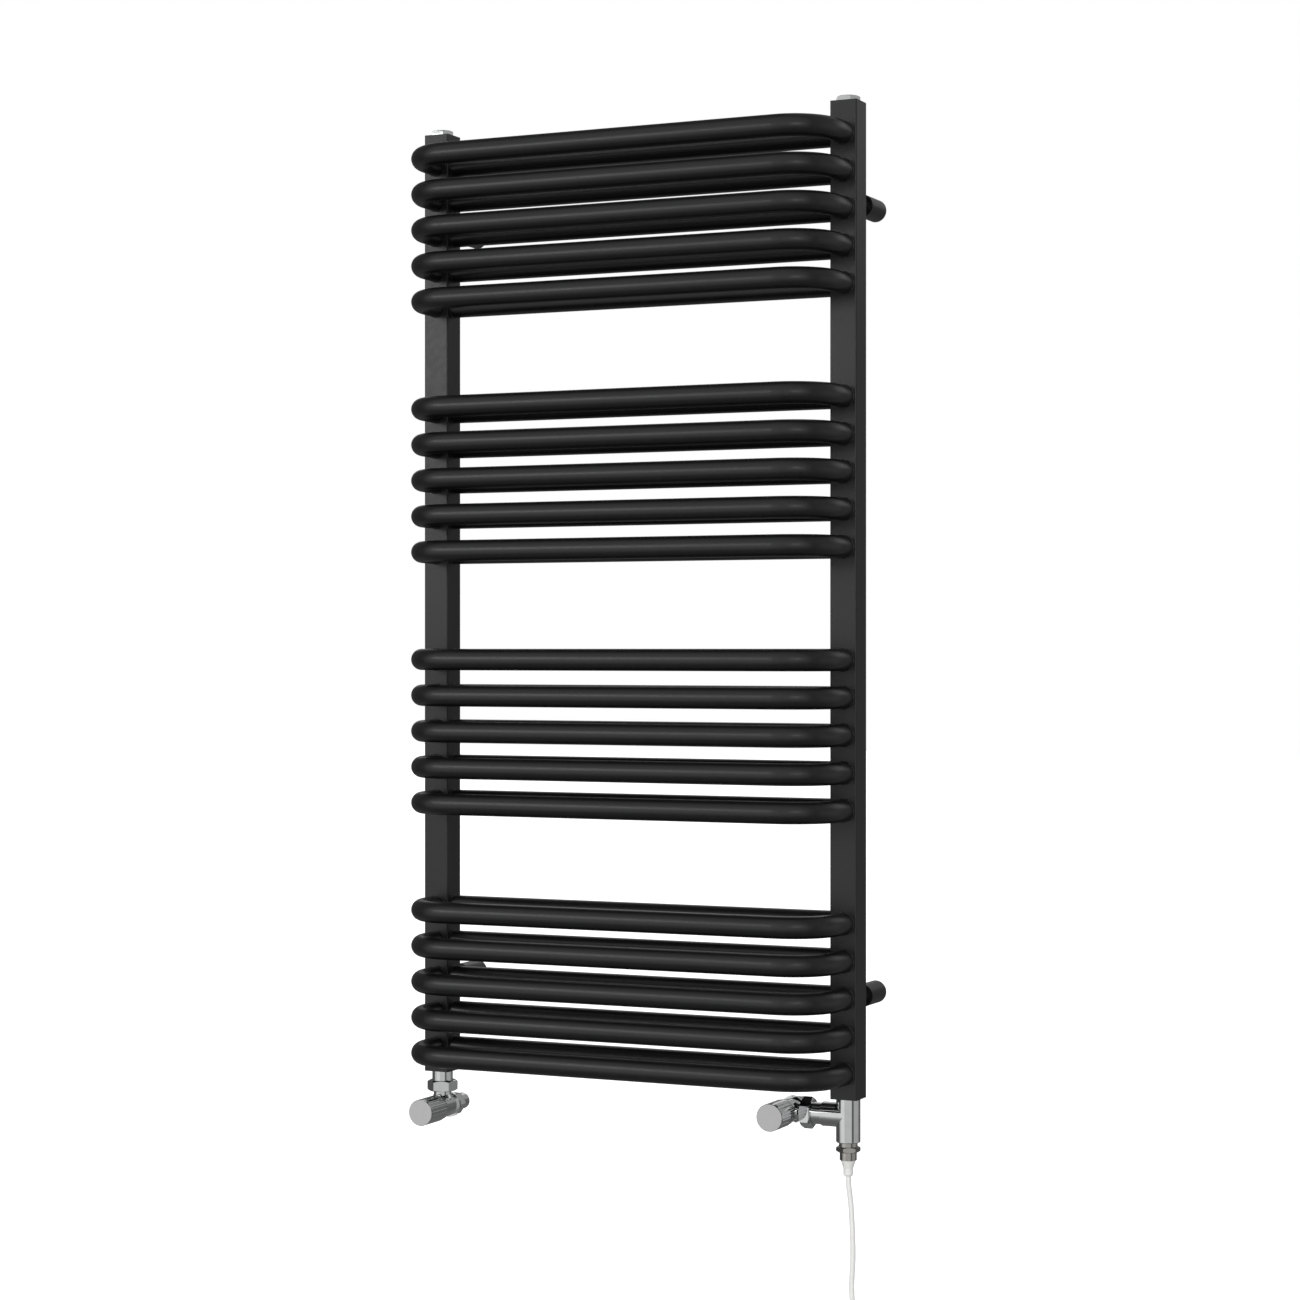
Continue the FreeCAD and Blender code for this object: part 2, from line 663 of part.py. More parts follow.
def corded_path(points, name):
    """Straight runs joined by tangent arcs, each arc as large as its two runs allow."""
    edges = []
    here = points[0]
    radii = []
    for before, corner, after in zip(points, points[1:], points[2:]):
        incoming = (corner - before).normalize()
        outgoing = (after - corner).normalize()
        turn = incoming.getAngle(outgoing)
        reach = 0.45 * min((corner - before).Length, (after - corner).Length)
        radius = reach / math.tan(turn / 2)
        radii.append(round(radius, 1))
        start = corner - incoming * reach
        end = corner + outgoing * reach
        inward = (outgoing - incoming).normalize()
        middle = corner + inward * (radius / math.cos(turn / 2) - radius)
        edges.append(Part.LineSegment(here, start).toShape())
        edges.append(Part.Arc(start, middle, end).toShape())
        here = end
    edges.append(Part.LineSegment(here, points[-1]).toShape())
    print(f"{name}: bend radii {radii}")
    return Part.Wire(edges)


def cord_tube(points, diameter, name):
    wire = corded_path(points, name)
    profile = Part.Wire(Part.makeCircle(diameter / 2, points[0], points[1] - points[0]))
    solid = wire.makePipeShell([profile], True, False)
    ideal = math.pi * diameter ** 2 / 4 * wire.Length
    print(f"{name}: length {wire.Length:.1f}, volume over section times length {solid.Volume / ideal:.4f}")
    return solid


coil_side = coil_centre + point(coil_radius, 0, 0)
tail_points = [
    coil_side + point(1.4, -5.0, -6.0),
    coil_side + point(2.6, -6.2, -16.0),
    coil_side + point(3.8, -6.6, -27.0),
    coil_side + point(3.8, -6.6, -37.0),
]


def coil_tie():
    """Cable tie round the turns, where the cable joins them."""
    inner = coil_section + 2 * tie_gap
    return tube(inner + 2 * tie_thickness, inner, coil_side + UP * (tie_width / 2), DOWN, tie_width)


def cores():
    """Three stripped cores, each ending in a crimped ferrule."""
    start = tail_points[-1]
    solids = []
    for index in range(3):
        angle = 2 * math.pi * index / 3 + core_turn
        offset = point(math.cos(angle), math.sin(angle), 0)
        top = start + offset * (core_diameter / 2 + core_gap)
        end = top + DOWN * core_length + offset * core_spread
        direction = (end - top).normalize()
        core = rod(core_diameter, top - direction, direction, (end - top).Length + margin)
        inside_jacket = rod(past, start, UP, past)
        ferrule = rod(ferrule_diameter, end - direction, direction, ferrule_length + margin)
        solids.append(core.cut(inside_jacket).fuse(ferrule))
    return solids


# ---------------------------------------------------------------- build

os.makedirs("parts", exist_ok=True)

left_middle = point(-upright_x, upright_axis, left_valve_z)
right_middle = point(right_valve_x, upright_axis, right_valve_z)
valves = [("left", left_middle, UP), ("right", right_middle, RIGHT)]
nut_turns = [left_nut_turn, right_nut_turn]

save("wall_sleeves", *[wall_sleeve(x, z) for x, z in fixing_points])
save("grub_screws", *[grub_screw(x, z) for x, z in fixing_points])
save("bracket_stubs", *[bracket_stub(x, z) for x, z in fixing_points])
save("left_upright", upright(-1))
save("right_upright", upright(1))
save("upright_end_plates", *[end_plate(side, end) for side in (-1, 1) for end in (1, -1)])

first_bar = front_bar(bar_height(0))
for number, row in enumerate(bar_rows, start=1):
    save(f"front_bar_{number:02d}", first_bar.translated(DOWN * (row * bar_pitch)))
half_count = len(bar_rows) // 2
save("rear_bars_upper", *[rear_bar(bar_height(row)) for row in bar_rows[:half_count]])
save("rear_bars_lower", *[rear_bar(bar_height(row)) for row in bar_rows[half_count:]])

save("blanking_plug", cap_body(-1))
save("air_vent_body", air_vent_body())
save("vent_screw", vent_screw())
save("cap_seals", cap_seal(-1), cap_seal(1))

for name, middle, outlet in valves:
    save(f"{name}_valve_body", valve_body(middle, outlet))
    save(f"{name}_tailpiece", tailpiece(middle, outlet))
    save(f"{name}_spindle", spindle(middle))
    save(f"{name}_valve_plug", valve_plug(middle))
    save(f"{name}_knob", knob(middle))
    save(f"{name}_knob_disc", knob_disc(middle))
    save(f"{name}_seat_washer", seat_washer(middle))
save("union_nuts", *[union_nut(valve[1], valve[2], turn) for valve, turn in zip(valves, nut_turns)])
save("cover_sleeves", *[cover_sleeve(middle, outlet) for name, middle, outlet in valves])
save("compression_nuts", *[compression_nut(middle) for name, middle, outlet in valves])
save("olives", *[olive(middle) for name, middle, outlet in valves])
save("valve_glands", *[gland(middle) for name, middle, outlet in valves])
save("gland_orings", *[gland_oring(middle) for name, middle, outlet in valves])

save("tee_piece", tee_piece())
save("element_head", element_head())
save("element_rod", element_rod())
save("cable_boot", cable_boot())
save("cable", cord_tube(cable_points, cable_diameter, "cable"),
     cord_tube(tail_points, cable_diameter, "tail"))
save("cable_coil", Part.makeTorus(coil_radius, coil_section / 2, coil_centre, FRONT))
save("cable_cores", *cores())
save("coil_tie", coil_tie())
print("files", len(os.listdir("parts")), "upright height", upright_height, "fixing z", fixing_z)
print("left valve", left_middle, "right valve", right_middle, "boot tip", boot_tip)
print("coil centre", coil_centre)
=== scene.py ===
import math
import bpy
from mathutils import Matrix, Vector


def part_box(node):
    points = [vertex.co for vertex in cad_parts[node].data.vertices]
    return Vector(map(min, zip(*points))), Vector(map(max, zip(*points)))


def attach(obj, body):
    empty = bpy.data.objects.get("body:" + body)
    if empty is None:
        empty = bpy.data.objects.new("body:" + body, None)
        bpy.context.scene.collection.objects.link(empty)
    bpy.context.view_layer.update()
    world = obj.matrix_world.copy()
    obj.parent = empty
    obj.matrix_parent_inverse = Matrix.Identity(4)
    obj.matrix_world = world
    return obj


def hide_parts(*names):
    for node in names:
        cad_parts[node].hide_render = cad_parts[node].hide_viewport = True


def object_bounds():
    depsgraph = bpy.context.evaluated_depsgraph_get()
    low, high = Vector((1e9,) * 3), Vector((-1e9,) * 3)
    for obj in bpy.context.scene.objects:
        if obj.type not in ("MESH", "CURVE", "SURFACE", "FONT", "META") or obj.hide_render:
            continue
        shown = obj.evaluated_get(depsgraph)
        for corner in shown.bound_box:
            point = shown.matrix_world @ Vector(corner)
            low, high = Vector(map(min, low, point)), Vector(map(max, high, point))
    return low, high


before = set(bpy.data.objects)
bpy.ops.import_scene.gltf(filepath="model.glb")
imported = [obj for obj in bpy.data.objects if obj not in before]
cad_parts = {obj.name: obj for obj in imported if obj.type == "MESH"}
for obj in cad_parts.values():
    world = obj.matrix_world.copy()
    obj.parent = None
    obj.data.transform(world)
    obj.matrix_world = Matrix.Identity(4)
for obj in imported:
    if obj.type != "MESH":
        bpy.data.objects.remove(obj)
cad_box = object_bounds()
bpy.ops.object.select_all(action="DESELECT")


# ---------------------------------------------------------------- camera
# A long lens, level with the radiator's middle and standing off to its right,
# so that the right upright is the nearer one and the view shows its outer side.
bpy.ops.object.camera_add(location=(1.40409, -3.09589, -0.05593),
                          rotation=(math.radians(90), 0, math.radians(24.806)))
camera = bpy.context.object
camera.name = "studio_camera"
camera.data.lens = 79.344
camera.data.sensor_width = 36.0
bpy.context.scene.camera = camera


# ---------------------------------------------------------------- supply cable
# Three-core flex with a white PVC jacket, moulded into the element's boot. It hangs down with a
# slight bow, and its spare length is wound in a small coil that a cable tie holds.

MM = 0.001


def tint(code):
    """An sRGB hex colour as the linear colour that a shader takes."""
    channels = [int(code[place:place + 2], 16) / 255 for place in (0, 2, 4)]
    linear = [c / 12.92 if c <= 0.04045 else ((c + 0.055) / 1.055) ** 2.4 for c in channels]
    return (*linear, 1.0)


def add_node(owner, kind, inputs=None, **settings):
    """Adds one shader node. inputs gives its sockets values, or the outputs that feed them."""
    made = owner.node_tree.nodes.new("ShaderNode" + kind)
    for name, value in settings.items():
        setattr(made, name, value)
    for socket, value in (inputs or {}).items():
        if isinstance(value, bpy.types.NodeSocket):
            owner.node_tree.links.new(value, made.inputs[socket])
        else:
            made.inputs[socket].default_value = value
    return made


def finish_named(name, surface, *details, **sockets):
    """A new material around one Principled shader; surface(material, shader, ...) adds its detail."""
    material = bpy.data.materials.new(name)
    material.use_nodes = True
    shader = material.node_tree.nodes["Principled BSDF"]
    for socket, value in sockets.items():
        shader.inputs[socket.replace("_", " ")].default_value = value
    surface(material, shader, *details)
    return material


def feed(material, output, shader, socket):
    """Links a node's output to a socket of the shader."""
    material.node_tree.links.new(output, shader.inputs[socket])


def mottle(material, shader, size_mm, dark, light, rough_low, rough_high):
    """Patches of a real size that shift the colour and the gloss a little. Gives back their noise."""
    place = add_node(material, "TexCoord")
    noise = add_node(material, "TexNoise",
                     {"Vector": place.outputs["Object"], "Scale": 1000 / size_mm, "Detail": 3.0})
    patch_start, patch_end = 0.3, 0.7      # the noise seldom leaves this range
    ramp = add_node(material, "ValToRGB", {"Fac": noise.outputs["Fac"]})
    ramp.color_ramp.elements[0].position = patch_start
    ramp.color_ramp.elements[0].color = tint(dark)
    ramp.color_ramp.elements[1].position = patch_end
    ramp.color_ramp.elements[1].color = tint(light)
    feed(material, ramp.outputs["Color"], shader, "Base Color")
    gloss = add_node(material, "MapRange",
                     {"Value": noise.outputs["Fac"], "From Min": patch_start, "From Max": patch_end,
                      "To Min": rough_low, "To Max": rough_high})
    feed(material, gloss.outputs["Result"], shader, "Roughness")
    return noise


def relief(material, shader, height, depth_mm, strength=1.0):
    """Bump of a real depth."""
    bump = add_node(material, "Bump",
                    {"Height": height, "Distance": depth_mm * MM, "Strength": strength})
    feed(material, bump.outputs["Normal"], shader, "Normal")


def extruded_pvc(material, shader):
    """Plasticised PVC from the extruder: white, silky, with a faint pulled grain along it."""
    mottle(material, shader, 3.0, "f0f0ed", "f6f6f4", 0.38, 0.48)
    place = add_node(material, "TexCoord")
    pulled = add_node(material, "Mapping",
                      {"Vector": place.outputs["Object"], "Scale": (1.0, 1.0, 0.12)})
    grain = add_node(material, "TexNoise", {"Vector": pulled.outputs["Vector"], "Scale": 1000 / 0.6})
    relief(material, shader, grain.outputs["Fac"], 0.02, 0.5)


white_pvc = finish_named("white_flex_pvc", extruded_pvc, IOR=1.53)

cable_diameter = 6.0 * MM
boot_low, boot_high = (Vector(corner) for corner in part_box("cable_boot"))
cable_exit = (boot_low + boot_high) / 2
flex_in_boot = 5.0 * MM      # length of flex inside the boot's lower end
cable_exit.z = boot_low.z + flex_in_boot
coil_middle = cable_exit + Vector((-26.0, 0.0, -192.0)) * MM
drop = [(0.0, 0.0, 0.0), (0.0, 0.0, -14.0), (3.6, -0.4, -36.0), (5.2, -0.8, -66.0),
        (6.2, -0.4, -96.0), (3.6, 0.3, -126.0), (5.0, 0.4, -152.0), (10.6, 0.0, -176.0)]
coil_radius = 33.0 * MM
coil_turns = 4
bundle_radius = 5.1 * MM     # the turns twist round the bundle's middle at this distance
points_per_turn = 16
route = [cable_exit + Vector(offset) * MM for offset in drop]
for step in range(coil_turns * points_per_turn + 1):
    turn = step / points_per_turn
    around = -2 * math.pi * turn
    twist = 2 * math.pi * turn / (coil_turns + 1)
    reach = coil_radius + bundle_radius * math.cos(twist)
    sideways = bundle_radius * math.sin(twist)
    route.append(coil_middle + Vector((reach * math.cos(around), sideways, reach * math.sin(around))))
coil_side = coil_middle + Vector((coil_radius, 0, 0))
tail = [(2.0, -5.6, -12.0), (3.4, -6.6, -24.0), (3.8, -6.6, -36.0)]
route += [coil_side + Vector(offset) * MM for offset in tail]


def round_curve(name, points, diameter, material):
    """A smooth round line through a list of control points."""
    curve = bpy.data.curves.new(name, "CURVE")
    curve.dimensions = "3D"
    spline = curve.splines.new("NURBS")
    spline.points.add(len(points) - 1)
    for control, place in zip(spline.points, points):
        control.co = (*place, 1.0)
    spline.order_u = 3
    spline.use_endpoint_u = True
    curve.resolution_u = 8
    curve.bevel_depth = diameter / 2
    curve.bevel_resolution = 6
    curve.use_fill_caps = True
    curve.materials.append(material)
    line = bpy.data.objects.new(name, curve)
    bpy.context.collection.objects.link(line)
    return line


cable = round_curve("supply_cable", route, cable_diameter, white_pvc)
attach(cable, "radiator")
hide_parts("cable", "cable_coil")


# ---------------------------------------------------------------- stripped cores
# The free end is stripped for the wall outlet: brown, blue and striped earth cores,
# each pushed into a tinned copper ferrule with a plastic collar.

def core_insulation(material, shader, dark, light):
    """Coloured PVC, thinner and glossier than the jacket."""
    noise = mottle(material, shader, 1.5, dark, light, 0.3, 0.4)
    relief(material, shader, noise.outputs["Fac"], 0.01)


def striped_insulation(material, shader, green, yellow):
    """Earth core: green PVC with yellow stripes on a slant, 4.4 mm apart."""
    place = add_node(material, "TexCoord")
    slanted = add_node(material, "Mapping",
                       {"Vector": place.outputs["Object"], "Rotation": (0.5, 0.9, 0)})
    stripe_scale = 1000 / 14.0       # a wave repeats every 2 pi / 20 / scale metres
    bands = add_node(material, "TexWave",
                     {"Vector": slanted.outputs["Vector"], "Scale": stripe_scale})
    ramp = add_node(material, "ValToRGB", {"Fac": bands.outputs["Fac"]})
    ramp.color_ramp.interpolation = "CONSTANT"
    ramp.color_ramp.elements[0].color = tint(green)
    ramp.color_ramp.elements[1].position = 0.55      # a little more green than yellow
    ramp.color_ramp.elements[1].color = tint(yellow)
    feed(material, ramp.outputs["Color"], shader, "Base Color")


def tinned_copper(material, shader):
    """Drawn copper dipped in tin: a soft grey metal with dull patches."""
    noise = mottle(material, shader, 0.8, "a9a8a4", "d0cfcb", 0.25, 0.45)
    relief(material, shader, noise.outputs["Fac"], 0.02)


brown_pvc = finish_named("brown_core_pvc", core_insulation, "4a2c1c", "5a3623", IOR=1.53)
blue_pvc = finish_named("blue_core_pvc", core_insulation, "1f5aa8", "2a68b8", IOR=1.53)
earth_pvc = finish_named("earth_core_pvc", striped_insulation, "2f7a34", "e3c530",
                         Roughness=0.35, IOR=1.53)
collar_pvc = finish_named("grey_collar_plastic", core_insulation, "9a9a98", "a8a8a6", IOR=1.5)
tin = finish_named("tinned_copper", tinned_copper, Metallic=1.0)

core_diameter = 2.2 * MM
core_start = 1.45 * MM       # from the cable's middle to a core's middle
core_spread = 3.4 * MM
core_length = 22.0 * MM
ferrule_diameter = 1.5 * MM
ferrule_length = 8.0 * MM
ferrule_crimp = 0.86         # the crimped ferrule's width to the plain one's
crimp_place = 0.45           # share of the ferrule's length from the core's end to the crimp
collar_length = 3.5 * MM
smooth_below = math.radians(35)
cable_end = route[-1]
cores = []
ferrules = []
collars = []


def pick_only(piece):
    bpy.ops.object.select_all(action="DESELECT")
    piece.select_set(True)
    bpy.context.view_layer.objects.active = piece


def bevel_edges(piece, width, segments=2):
    """Rounds a piece's sharp edges and settles the result into its mesh."""
    pick_only(piece)
    rounding = piece.modifiers.new("rounding", "BEVEL")
    rounding.width = width
    rounding.segments = segments
    rounding.limit_method = "ANGLE"
    bpy.ops.object.modifier_apply(modifier=rounding.name)
    bpy.ops.object.shade_smooth_by_angle(angle=smooth_below)
    bpy.ops.object.transform_apply(location=True, rotation=True, scale=True)


core_finishes = [("brown", brown_pvc), ("blue", blue_pvc), ("earth", earth_pvc)]
first_bearing = 0.5          # radians round the cable's end to the brown core
for index, (colour, material) in enumerate(core_finishes):
    angle = 2 * math.pi * index / len(core_finishes) + first_bearing
    outward = Vector((math.cos(angle), math.sin(angle), 0))
    top = cable_end + outward * core_start
    end = top + outward * core_spread - Vector((0, 0, core_length))
    bow = outward * core_spread
    line = [top + Vector((0, 0, MM)), top - Vector((0, 0, 6 * MM)),
            top + bow * 0.75 - Vector((0, 0, 13 * MM)), end]
    core = round_curve("core_" + colour, line, core_diameter, material)
    pick_only(core)
    bpy.ops.object.convert(target="MESH")
    bpy.ops.object.shade_smooth_by_angle(angle=smooth_below)
    cores.append(bpy.context.object)
    aim = (line[-1] - line[-2]).normalized()
    lean = Vector((0, 0, -1)).rotation_difference(aim).to_euler()
    bpy.ops.mesh.primitive_cylinder_add(vertices=24, radius=ferrule_diameter / 2,
                                        depth=ferrule_length, rotation=lean,
                                        location=end + aim * ferrule_length / 2)
    ferrule = bpy.context.object
    ferrule.name = "ferrule_" + colour
    bpy.ops.object.mode_set(mode="EDIT")
    bpy.ops.mesh.select_all(action="SELECT")
    bpy.ops.mesh.bisect(plane_co=end + aim * ferrule_length * crimp_place, plane_no=aim)
    bpy.ops.transform.resize(value=(ferrule_crimp, ferrule_crimp, 1.0), orient_type="LOCAL")
    bpy.ops.object.mode_set(mode="OBJECT")
    ferrule.data.materials.append(tin)
    bevel_edges(ferrule, 0.12 * MM)
    ferrules.append(ferrule)
    bpy.ops.mesh.primitive_cone_add(vertices=32, radius1=ferrule_diameter * 0.62,
                                    radius2=core_diameter * 0.72, depth=collar_length,
                                    location=end + aim * collar_length * 0.2, rotation=lean)
    collar = bpy.context.object
    collar.name = "collar_" + colour
    collar.data.materials.append(collar_pvc)
    bevel_edges(collar, 0.25 * MM, 3)
    collars.append(collar)
for piece in cores + ferrules + collars:
    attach(piece, "radiator")
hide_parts("cable_cores")


# ---------------------------------------------------------------- cable tie
# Moulded nylon tie: a ribbed strap pulled round the coil's turns through its own square head,
# with the end cut off short.

def natural_nylon(material, shader):
    """Uncoloured nylon: milky, a little waxy, with a fine mould texture."""
    noise = mottle(material, shader, 2.0, "dedcd2", "eae8e0", 0.35, 0.48)
    relief(material, shader, noise.outputs["Fac"], 0.02)


nylon = finish_named("natural_nylon", natural_nylon, IOR=1.53, Subsurface_Weight=0.15,
                     Subsurface_Scale=1.5 * MM)

tie_radius = 8.5 * MM
tie_width = 4.0 * MM
tie_thickness = 1.1 * MM
head_size = Vector((6.0, 4.4, 5.2)) * MM
slot_rim = 0.9 * MM          # wall left round the mouth of the head's slot
slot_depth = 1.2 * MM
strap_end = 7.0 * MM
strap_droop = 0.8 * MM
bpy.ops.mesh.primitive_cylinder_add(vertices=96, radius=tie_radius, depth=tie_width,
                                    end_fill_type="NOTHING", location=coil_side)
strap = bpy.context.object
strap.name = "tie_strap"
wall = strap.modifiers.new("wall", "SOLIDIFY")
wall.thickness = tie_thickness
wall.offset = 1.0
bpy.ops.object.modifier_apply(modifier=wall.name)
strap.data.materials.append(nylon)
bevel_edges(strap, 0.3 * MM)
head_middle = coil_side + Vector((0, -tie_radius - head_size.y / 2, 0))
bpy.ops.mesh.primitive_cube_add(size=1, location=head_middle, scale=head_size)
head = bpy.context.object
head.name = "tie_head"
head.data.materials.append(nylon)
bpy.ops.object.mode_set(mode="EDIT")
bpy.ops.mesh.select_mode(type="FACE")
bpy.ops.mesh.select_all(action="DESELECT")
bpy.ops.object.mode_set(mode="OBJECT")
for face in head.data.polygons:
    face.select = face.normal.x > 0.9
bpy.ops.object.mode_set(mode="EDIT")
bpy.ops.mesh.inset(thickness=slot_rim)
bpy.ops.transform.translate(value=(-slot_depth, 0, 0))
bpy.ops.object.mode_set(mode="OBJECT")
bevel_edges(head, 0.35 * MM, 3)
stub_middle = head_middle + Vector((-head_size.x / 2 - strap_end / 2 + MM, -0.2 * MM, 0))
bpy.ops.mesh.primitive_cube_add(size=1, location=stub_middle,
                                scale=(strap_end, tie_thickness, tie_width))
strap_stub = bpy.context.object
strap_stub.name = "tie_strap_end"
strap_stub.data.materials.append(nylon)
bpy.ops.object.mode_set(mode="EDIT")
bpy.ops.mesh.select_all(action="SELECT")
bpy.ops.mesh.subdivide(number_cuts=6)
bpy.ops.object.mode_set(mode="OBJECT")
for vertex in strap_stub.data.vertices:
    vertex.co.y -= strap_droop * (vertex.co.x / strap_end - 0.5) ** 2
bevel_edges(strap_stub, 0.25 * MM)
tie = [strap, head, strap_stub]
for piece in tie:
    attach(piece, "radiator")
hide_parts("coil_tie")


# ---------------------------------------------------------------- cable boot
# Soft PVC strain relief, moulded on the flex: its flared top fills the element head's mouth.

def paint(material, *names):
    """Gives CAD pieces their finish."""
    for name in names:
        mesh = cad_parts[name].data
        mesh.materials.clear()
        mesh.materials.append(material)


def moulded_pvc(material, shader):
    """Injection-moulded flexible PVC: white and matt, with a spark-eroded mould grain."""
    noise = mottle(material, shader, 0.8, "ebebe8", "f4f4f2", 0.45, 0.58)
    relief(material, shader, noise.outputs["Fac"], 0.03, 0.6)


boot_pvc = finish_named("moulded_white_pvc", moulded_pvc, IOR=1.53)
paint(boot_pvc, "cable_boot")


# ---------------------------------------------------------------- uprights, bars and brackets
# Mild steel tube, welded together and stove-finished as one piece with black powder coat,
# so frame, bars, bracket stubs and wall sleeves share one skin.

def powder_coat(material, shader):
    """Polyester powder, melted at 180 degrees: satin black, with a soft orange peel and a fine tooth."""
    mottle(material, shader, 6.0, "121213", "161617", 0.30, 0.36)
    place = add_node(material, "TexCoord")
    peel = add_node(material, "TexNoise",
                    {"Vector": place.outputs["Object"], "Scale": 1000 / 2.2, "Detail": 1.0})
    tooth = add_node(material, "TexNoise", {"Vector": place.outputs["Object"], "Scale": 1000 / 0.5})
    both = add_node(material, "Math", {0: tooth.outputs["Fac"], 1: 0.2, 2: peel.outputs["Fac"]},
                    operation="MULTIPLY_ADD")
    relief(material, shader, both.outputs["Value"], 0.045)


black_coat = finish_named("satin_black_powder_coat", powder_coat, IOR=1.5)
bar_names = [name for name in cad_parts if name.startswith("front_bar_")]
paint(black_coat, "left_upright", "right_upright", "upright_end_plates", "rear_bars_upper",
      "rear_bars_lower", "bracket_stubs", "wall_sleeves", *bar_names)


# ---------------------------------------------------------------- weld beads
# Each bar's end stands in its hole in the upright and is welded round; under the powder
# the bead shows as a low, slightly uneven ring.

bead_radius = 0.9 * MM
bead_ripple = 0.18 * MM
bead_ripples = 9
ripple_shift = 40            # radians for each metre of height, so that no two levels look alike
bar_radius = 12.5 * MM
left_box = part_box("left_upright")
right_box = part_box("right_upright")
front_face = left_box[0][1]
frame_middle = (left_box[0][1] + left_box[1][1]) / 2
places = []
for name in bar_names:
    low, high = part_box(name)
    level = (low[2] + high[2]) / 2
    for box, inner in ((left_box, left_box[1][0]), (right_box, right_box[0][0])):
        centre = (box[0][0] + box[1][0]) / 2
        places.append(((centre, front_face, level), (math.radians(90), 0, 0)))
        places.append(((inner, frame_middle, level), (0, math.radians(90), 0)))
beads = []
for place, facing in places:
    bpy.ops.mesh.primitive_torus_add(major_radius=bar_radius, minor_radius=bead_radius,
                                     major_segments=45, minor_segments=8,
                                     location=place, rotation=facing)
    bead = bpy.context.object
    for vertex in bead.data.vertices:
        across = Vector((vertex.co.x, vertex.co.y, 0))
        angle = math.atan2(across.y, across.x)
        swell = bead_ripple * math.sin(bead_ripples * angle + ripple_shift * place[2])
        vertex.co += (vertex.co - across.normalized() * bar_radius).normalized() * swell
    bpy.ops.object.shade_smooth()
    beads.append(bead)
bpy.ops.object.select_all(action="DESELECT")
for bead in beads:
    bead.select_set(True)
bpy.context.view_layer.objects.active = beads[0]
bpy.ops.object.join()
welds = bpy.context.object
welds.name = "bar_welds"
bpy.ops.object.transform_apply(location=True, rotation=True, scale=True)
welds.data.materials.append(black_coat)
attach(welds, "radiator")


# ---------------------------------------------------------------- grub screws and bleed screw
# Small turned steel screws: the grub screws lock the bracket stubs in their wall sleeves, and the
# square-headed one opens the air vent. The heating rod inside the right upright is finished here too.

def turned_steel(material, shader):
    """Free-cutting steel, zinc plated: pale grey, with faint turning marks."""
    noise = mottle(material, shader, 0.7, "a4a5a8", "c2c3c6", 0.22, 0.36)
    relief(material, shader, noise.outputs["Fac"], 0.02)


def sheathed_rod(material, shader):
    """Stainless sheath of the heating rod: drawn along its length, straw-tinted by heat."""
    mottle(material, shader, 25.0, "a49c8c", "b8b4ac", 0.25, 0.4)
    place = add_node(material, "TexCoord")
    drawn = add_node(material, "Mapping",
                     {"Vector": place.outputs["Object"], "Scale": (1.0, 1.0, 0.04)})
    lines = add_node(material, "TexNoise", {"Vector": drawn.outputs["Vector"], "Scale": 1000 / 0.4})
    relief(material, shader, lines.outputs["Fac"], 0.01)


steel = finish_named("zinc_plated_steel", turned_steel, Metallic=1.0)
sheath = finish_named("stainless_sheath", sheathed_rod, Metallic=1.0)
paint(steel, "grub_screws", "vent_screw")
paint(sheath, "element_rod")


# ---------------------------------------------------------------- plated brass fittings
# Caps, valve bodies, nuts, sleeves and tee are hot-stamped or turned brass, polished, nickel
# plated and chromed. The element head stops at the nickel.

def bright_plate(material, shader, dark, light, rough_low, rough_high):
    """Plate over polished brass: a mirror, its polish a little wavy and hazed in patches."""
    noise = mottle(material, shader, 9.0, dark, light, rough_low, rough_high)
    relief(material, shader, noise.outputs["Fac"], 0.01)


chrome = finish_named("polished_chrome_plate", bright_plate, "cfd0d0", "d6d7d7", 0.02, 0.05,
                      Metallic=1.0)
nickel = finish_named("bare_nickel_plate", bright_plate, "a9a6a2", "b6b3af", 0.10, 0.20,
                      Metallic=1.0)
paint(chrome, "blanking_plug", "air_vent_body", "left_valve_body", "right_valve_body", "union_nuts",
      "cover_sleeves", "compression_nuts", "tee_piece")
paint(nickel, "element_head")


# ---------------------------------------------------------------- knobs
# Chrome-plated ABS knobs with fluted sides and a square socket for the spindle's end. A satin
# metallised disc sits in each one's front.

def plated_plastic(material, shader):
    """Chrome on ABS: as bright as the brass, with a faint moulding ripple under the plate."""
    noise = mottle(material, shader, 5.0, "cccdce", "d4d5d6", 0.03, 0.05)
    relief(material, shader, noise.outputs["Fac"], 0.008)


def ringed_disc(material, shader, middle):
    """Metallised plastic, satin, with faint moulded rings 3.1 mm apart: far coarser than life."""
    mottle(material, shader, 9.0, "c0c0c0", "c4c4c4", 0.27, 0.30)
    place = add_node(material, "TexCoord")
    centred = add_node(material, "Mapping", {"Vector": place.outputs["Object"], "Location": middle},
                       vector_type="TEXTURE")
    ring_scale = 100.0       # a wave repeats every 2 pi / 20 / scale metres
    rings = add_node(material, "TexWave", {"Vector": centred.outputs["Vector"], "Scale": ring_scale},
                     wave_type="RINGS", rings_direction="Y")
    relief(material, shader, rings.outputs["Fac"], 0.0015)


plated_abs = finish_named("chrome_plated_abs", plated_plastic, Metallic=1.0)
paint(plated_abs, "left_knob", "right_knob")
for side in ("left", "right"):
    low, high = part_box(side + "_knob_disc")
    middle = tuple((a + b) / 2 for a, b in zip(low, high))
    satin = finish_named(side + "_knob_disc_satin", ringed_disc, middle, Metallic=1.0)
    paint(satin, side + "_knob_disc")


# ---------------------------------------------------------------- valve insides
# Turned brass spindles, plugs, glands, tailpieces and olives, sealed with nitrile rubber.

